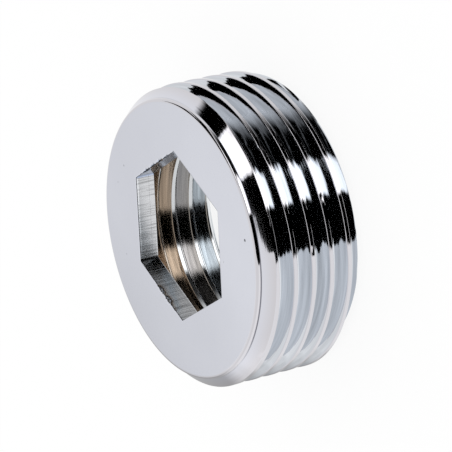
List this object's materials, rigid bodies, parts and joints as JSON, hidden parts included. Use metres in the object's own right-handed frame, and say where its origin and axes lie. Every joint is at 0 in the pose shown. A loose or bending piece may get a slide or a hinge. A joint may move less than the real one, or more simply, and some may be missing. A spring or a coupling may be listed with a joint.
{
  "type": "reducing bushing",
  "caption": "Short chrome ring with pipe thread outside, smaller pipe thread inside and a hexagonal socket in the web at its driving end.",
  "frame": {"origin": "centre of the open end, in the plane that the ring stands on", "axes": "+Z along the ring's axis, from the open end to the driving face; +X towards a corner of the hexagonal socket"},
  "size_m": [0.0264, 0.0264, 0.01],
  "materials": {
    "chrome": "bright chrome plate over turned brass, with fine tool marks in the threads and broach marks in the socket"
  },
  "bodies": {
    "root": {"bushing": "chrome"}
  },
  "joints": []
}
